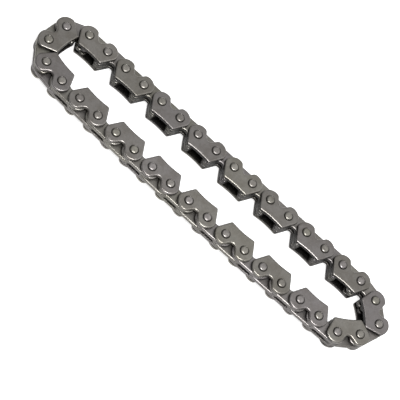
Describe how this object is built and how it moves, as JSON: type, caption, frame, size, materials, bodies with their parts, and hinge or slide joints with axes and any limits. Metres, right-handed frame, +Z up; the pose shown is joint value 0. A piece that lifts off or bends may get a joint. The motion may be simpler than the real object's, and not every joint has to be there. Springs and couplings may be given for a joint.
{
  "type": "silent chain",
  "caption": "Endless silent chain of steel link plates with inward teeth, guide plates on both sides and riveted pins, lying on its side as a long loop.",
  "frame": {"origin": "under the middle of the loop, in the plane that the lower rivet ends rest on", "axes": "+X along the loop towards its wider-turned end, +Y across the loop, +Z up along the pins, away from the surface that the chain lies on"},
  "size_m": [0.1182, 0.0222, 0.0063],
  "materials": {
    "guide_plate_steel": "satin, bare hardened steel",
    "toothed_plate_steel": "satin, ground edges",
    "pin_steel": "satin, riveted heads"
  },
  "bodies": {
    "link_01": {"inner_link_01_back_plate": "toothed_plate_steel", "inner_link_01_front_plate": "toothed_plate_steel"},
    "link_02": {"outer_link_02": "guide_plate_steel"},
    "link_03": {"inner_link_03_back_plate": "toothed_plate_steel", "inner_link_03_front_plate": "toothed_plate_steel"},
    "link_04": {"outer_link_04": "guide_plate_steel"},
    "link_05": {"inner_link_05_back_plate": "toothed_plate_steel", "inner_link_05_front_plate": "toothed_plate_steel"},
    "link_06": {"outer_link_06": "guide_plate_steel"},
    "link_07": {"inner_link_07_back_plate": "toothed_plate_steel", "inner_link_07_front_plate": "toothed_plate_steel"},
    "link_08": {"outer_link_08": "guide_plate_steel"},
    "link_09": {"inner_link_09_back_plate": "toothed_plate_steel", "inner_link_09_front_plate": "toothed_plate_steel"},
    "link_10": {"outer_link_10": "guide_plate_steel"},
    "link_11": {"inner_link_11_back_plate": "toothed_plate_steel", "inner_link_11_front_plate": "toothed_plate_steel"},
    "link_12": {"outer_link_12": "guide_plate_steel"},
    "link_13": {"inner_link_13_back_plate": "toothed_plate_steel", "inner_link_13_front_plate": "toothed_plate_steel"},
    "link_14": {"outer_link_14": "guide_plate_steel"},
    "link_15": {"inner_link_15_back_plate": "toothed_plate_steel", "inner_link_15_front_plate": "toothed_plate_steel"},
    "link_16": {"outer_link_16": "guide_plate_steel"},
    "link_17": {"inner_link_17_back_plate": "toothed_plate_steel", "inner_link_17_front_plate": "toothed_plate_steel"},
    "link_18": {"outer_link_18": "guide_plate_steel"},
    "link_19": {"inner_link_19_back_plate": "toothed_plate_steel", "inner_link_19_front_plate": "toothed_plate_steel"},
    "link_20": {"outer_link_20": "guide_plate_steel"},
    "link_21": {"inner_link_21_back_plate": "toothed_plate_steel", "inner_link_21_front_plate": "toothed_plate_steel"},
    "link_22": {"outer_link_22": "guide_plate_steel"},
    "link_23": {"inner_link_23_back_plate": "toothed_plate_steel", "inner_link_23_front_plate": "toothed_plate_steel"},
    "link_24": {"outer_link_24": "guide_plate_steel"},
    "link_25": {"inner_link_25_back_plate": "toothed_plate_steel", "inner_link_25_front_plate": "toothed_plate_steel"},
    "link_26": {"outer_link_26": "guide_plate_steel"},
    "link_27": {"inner_link_27_back_plate": "toothed_plate_steel", "inner_link_27_front_plate": "toothed_plate_steel"},
    "link_28": {"outer_link_28": "guide_plate_steel"},
    "link_29": {"inner_link_29_back_plate": "toothed_plate_steel", "inner_link_29_front_plate": "toothed_plate_steel"},
    "link_30": {"closing_link_back_plate_with_pins": "pin_steel", "closing_link_front_guide_plate": "guide_plate_steel", "closing_link_toothed_plate": "toothed_plate_steel"},
    "link_31": {"inner_link_31_back_plate": "toothed_plate_steel", "inner_link_31_front_plate": "toothed_plate_steel"},
    "link_32": {"outer_link_32": "guide_plate_steel"},
    "link_33": {"inner_link_33_back_plate": "toothed_plate_steel", "inner_link_33_front_plate": "toothed_plate_steel"},
    "link_34": {"outer_link_34": "guide_plate_steel"},
    "link_35": {"inner_link_35_back_plate": "toothed_plate_steel", "inner_link_35_front_plate": "toothed_plate_steel"},
    "link_36": {"outer_link_36": "guide_plate_steel"},
    "link_37": {"inner_link_37_back_plate": "toothed_plate_steel", "inner_link_37_front_plate": "toothed_plate_steel"},
    "link_38": {"outer_link_38": "guide_plate_steel"}
  },
  "joints": [
    {"name": "pivot_11", "type": "hinge", "parent": "link_10", "child": "link_11", "pos_m": [0.00747, 0.00793, 0.00313], "axis": [0, 0, -1], "range_deg": [-11.9, 66.6]},
    {"name": "pivot_12", "type": "hinge", "parent": "link_11", "child": "link_12", "pos_m": [0.01382, 0.00796, 0.00313], "axis": [0, 0, -1], "range_deg": [-11.9, 66.6]},
    {"name": "pivot_13", "type": "hinge", "parent": "link_12", "child": "link_13", "pos_m": [0.02017, 0.008, 0.00313], "axis": [0, 0, -1], "range_deg": [-11.9, 66.6]},
    {"name": "pivot_14", "type": "hinge", "parent": "link_13", "child": "link_14", "pos_m": [0.02652, 0.00805, 0.00313], "axis": [0, 0, -1], "range_deg": [-11.9, 66.6]},
    {"name": "pivot_15", "type": "hinge", "parent": "link_14", "child": "link_15", "pos_m": [0.03287, 0.0081, 0.00313], "axis": [0, 0, -1], "range_deg": [-11.9, 66.6]},
    {"name": "pivot_16", "type": "hinge", "parent": "link_15", "child": "link_16", "pos_m": [0.03922, 0.00816, 0.00313], "axis": [0, 0, -1], "range_deg": [-11.9, 66.6]},
    {"name": "pivot_17", "type": "hinge", "parent": "link_16", "child": "link_17", "pos_m": [0.04557, 0.00823, 0.00313], "axis": [0, 0, -1], "range_deg": [-25, 53.5]},
    {"name": "pivot_18", "type": "hinge", "parent": "link_17", "child": "link_18", "pos_m": [0.05177, 0.00687, 0.00313], "axis": [0, 0, -1], "range_deg": [-45, 33.5]},
    {"name": "loop_opens", "type": "hinge", "parent": "link_18", "child": "link_19", "pos_m": [0.05623, 0.00235, 0.00313], "axis": [0, 0, 1], "range_deg": [0, 54.7]},
    {"name": "pivot_20", "type": "hinge", "parent": "link_19", "child": "link_20", "pos_m": [0.05392, -0.00357, 0.00313], "axis": [0, 0, -1], "range_deg": [-43, 35.5]},
    {"name": "pivot_21", "type": "hinge", "parent": "link_20", "child": "link_21", "pos_m": [0.04889, -0.00744, 0.00313], "axis": [0, 0, -1], "range_deg": [-48, 30.5]},
    {"name": "pivot_22", "type": "hinge", "parent": "link_21", "child": "link_22", "pos_m": [0.04254, -0.00762, 0.00313], "axis": [0, 0, -1], "range_deg": [-12, 66.5]},
    {"name": "pivot_23", "type": "hinge", "parent": "link_22", "child": "link_23", "pos_m": [0.03619, -0.0078, 0.00313], "axis": [0, 0, -1], "range_deg": [-12.3, 66.2]},
    {"name": "pivot_24", "type": "hinge", "parent": "link_23", "child": "link_24", "pos_m": [0.02984, -0.00794, 0.00313], "axis": [0, 0, -1], "range_deg": [-12.3, 66.2]},
    {"name": "pivot_25", "type": "hinge", "parent": "link_24", "child": "link_25", "pos_m": [0.02349, -0.00806, 0.00313], "axis": [0, 0, -1], "range_deg": [-12.3, 66.2]},
    {"name": "pivot_26", "type": "hinge", "parent": "link_25", "child": "link_26", "pos_m": [0.01714, -0.00815, 0.00313], "axis": [0, 0, -1], "range_deg": [-12.3, 66.2]},
    {"name": "pivot_27", "type": "hinge", "parent": "link_26", "child": "link_27", "pos_m": [0.01079, -0.0082, 0.00313], "axis": [0, 0, -1], "range_deg": [-12.3, 66.2]},
    {"name": "pivot_28", "type": "hinge", "parent": "link_27", "child": "link_28", "pos_m": [0.00444, -0.00823, 0.00313], "axis": [0, 0, -1], "range_deg": [-12.3, 66.2]},
    {"name": "pivot_29", "type": "hinge", "parent": "link_28", "child": "link_29", "pos_m": [-0.00191, -0.00822, 0.00313], "axis": [0, 0, -1], "range_deg": [-12.3, 66.2]},
    {"name": "pivot_10", "type": "hinge", "parent": "link_10", "child": "link_09", "pos_m": [0.00112, 0.0079, 0.00313], "axis": [0, 0, 1], "range_deg": [-11.9, 66.6]},
    {"name": "pivot_09", "type": "hinge", "parent": "link_09", "child": "link_08", "pos_m": [-0.00523, 0.00788, 0.00313], "axis": [0, 0, 1], "range_deg": [-11.9, 66.6]},
    {"name": "pivot_08", "type": "hinge", "parent": "link_08", "child": "link_07", "pos_m": [-0.01158, 0.00787, 0.00313], "axis": [0, 0, 1], "range_deg": [-11.9, 66.6]},
    {"name": "pivot_07", "type": "hinge", "parent": "link_07", "child": "link_06", "pos_m": [-0.01793, 0.00786, 0.00313], "axis": [0, 0, 1], "range_deg": [-11.9, 66.6]},
    {"name": "pivot_06", "type": "hinge", "parent": "link_06", "child": "link_05", "pos_m": [-0.02428, 0.00786, 0.00313], "axis": [0, 0, 1], "range_deg": [-11.9, 66.6]},
    {"name": "pivot_05", "type": "hinge", "parent": "link_05", "child": "link_04", "pos_m": [-0.03063, 0.00787, 0.00313], "axis": [0, 0, 1], "range_deg": [-11.9, 66.6]},
    {"name": "pivot_04", "type": "hinge", "parent": "link_04", "child": "link_03", "pos_m": [-0.03698, 0.00788, 0.00313], "axis": [0, 0, 1], "range_deg": [-11.9, 66.6]},
    {"name": "pivot_03", "type": "hinge", "parent": "link_03", "child": "link_02", "pos_m": [-0.04333, 0.0079, 0.00313], "axis": [0, 0, 1], "range_deg": [-11.9, 66.6]},
    {"name": "pivot_02", "type": "hinge", "parent": "link_02", "child": "link_01", "pos_m": [-0.04968, 0.00793, 0.00313], "axis": [0, 0, 1], "range_deg": [-37, 41.5]},
    {"name": "pivot_01", "type": "hinge", "parent": "link_01", "child": "link_38", "pos_m": [-0.05544, 0.00527, 0.00313], "axis": [0, 0, 1], "range_deg": [-70, 8.5]},
    {"name": "pivot_38", "type": "hinge", "parent": "link_38", "child": "link_37", "pos_m": [-0.05624, -0.00103, 0.00313], "axis": [0, 0, 1], "range_deg": [-54.3, 24.2]},
    {"name": "pivot_37", "type": "hinge", "parent": "link_37", "child": "link_36", "pos_m": [-0.0526, -0.00623, 0.00313], "axis": [0, 0, 1], "range_deg": [-57, 21.5]},
    {"name": "pivot_36", "type": "hinge", "parent": "link_36", "child": "link_35", "pos_m": [-0.04634, -0.00733, 0.00313], "axis": [0, 0, 1], "range_deg": [-20, 58.5]},
    {"name": "pivot_35", "type": "hinge", "parent": "link_35", "child": "link_34", "pos_m": [-0.04, -0.00755, 0.00313], "axis": [0, 0, 1], "range_deg": [-12.3, 66.2]},
    {"name": "pivot_34", "type": "hinge", "parent": "link_34", "child": "link_33", "pos_m": [-0.03365, -0.00774, 0.00313], "axis": [0, 0, 1], "range_deg": [-12.3, 66.2]},
    {"name": "pivot_33", "type": "hinge", "parent": "link_33", "child": "link_32", "pos_m": [-0.0273, -0.0079, 0.00313], "axis": [0, 0, 1], "range_deg": [-12.3, 66.2]},
    {"name": "pivot_32", "type": "hinge", "parent": "link_32", "child": "link_31", "pos_m": [-0.02095, -0.00802, 0.00313], "axis": [0, 0, 1], "range_deg": [-12.3, 66.2]},
    {"name": "pivot_31", "type": "hinge", "parent": "link_31", "child": "link_30", "pos_m": [-0.01461, -0.00812, 0.00313], "axis": [0, 0, 1], "range_deg": [-12.3, 66.2]}
  ],
  "couplings": [
    {"joint": "pivot_11", "follows": "loop_opens", "ratio": 0.16675},
    {"joint": "pivot_12", "follows": "loop_opens", "ratio": 0.16675},
    {"joint": "pivot_13", "follows": "loop_opens", "ratio": 0.16675},
    {"joint": "pivot_14", "follows": "loop_opens", "ratio": 0.16675},
    {"joint": "pivot_15", "follows": "loop_opens", "ratio": 0.16675},
    {"joint": "pivot_16", "follows": "loop_opens", "ratio": 0.16675},
    {"joint": "pivot_17", "follows": "loop_opens", "ratio": 0.00968},
    {"joint": "pivot_18", "follows": "loop_opens", "ratio": -0.35496},
    {"joint": "pivot_20", "follows": "loop_opens", "ratio": -0.43429},
    {"joint": "pivot_21", "follows": "loop_opens", "ratio": -0.57027},
    {"joint": "pivot_22", "follows": "loop_opens", "ratio": 0.11567},
    {"joint": "pivot_23", "follows": "loop_opens", "ratio": 0.17622},
    {"joint": "pivot_24", "follows": "loop_opens", "ratio": 0.17622},
    {"joint": "pivot_25", "follows": "loop_opens", "ratio": 0.17622},
    {"joint": "pivot_26", "follows": "loop_opens", "ratio": 0.17622},
    {"joint": "pivot_27", "follows": "loop_opens", "ratio": 0.17622},
    {"joint": "pivot_28", "follows": "loop_opens", "ratio": 0.17622},
    {"joint": "pivot_29", "follows": "loop_opens", "ratio": 0.17622},
    {"joint": "pivot_10", "follows": "loop_opens", "ratio": 0.16675},
    {"joint": "pivot_09", "follows": "loop_opens", "ratio": 0.16675},
    {"joint": "pivot_08", "follows": "loop_opens", "ratio": 0.16675},
    {"joint": "pivot_07", "follows": "loop_opens", "ratio": 0.16675},
    {"joint": "pivot_06", "follows": "loop_opens", "ratio": 0.16675},
    {"joint": "pivot_05", "follows": "loop_opens", "ratio": 0.16675},
    {"joint": "pivot_04", "follows": "loop_opens", "ratio": 0.16675},
    {"joint": "pivot_03", "follows": "loop_opens", "ratio": 0.16675},
    {"joint": "pivot_02", "follows": "loop_opens", "ratio": -0.19584},
    {"joint": "pivot_01", "follows": "loop_opens", "ratio": -0.82408},
    {"joint": "pivot_38", "follows": "loop_opens", "ratio": -0.61545},
    {"joint": "pivot_37", "follows": "loop_opens", "ratio": -0.71809},
    {"joint": "pivot_36", "follows": "loop_opens", "ratio": -0.03772},
    {"joint": "pivot_35", "follows": "loop_opens", "ratio": 0.17622},
    {"joint": "pivot_34", "follows": "loop_opens", "ratio": 0.17622},
    {"joint": "pivot_33", "follows": "loop_opens", "ratio": 0.17622},
    {"joint": "pivot_32", "follows": "loop_opens", "ratio": 0.17622},
    {"joint": "pivot_31", "follows": "loop_opens", "ratio": 0.17622}
  ]
}
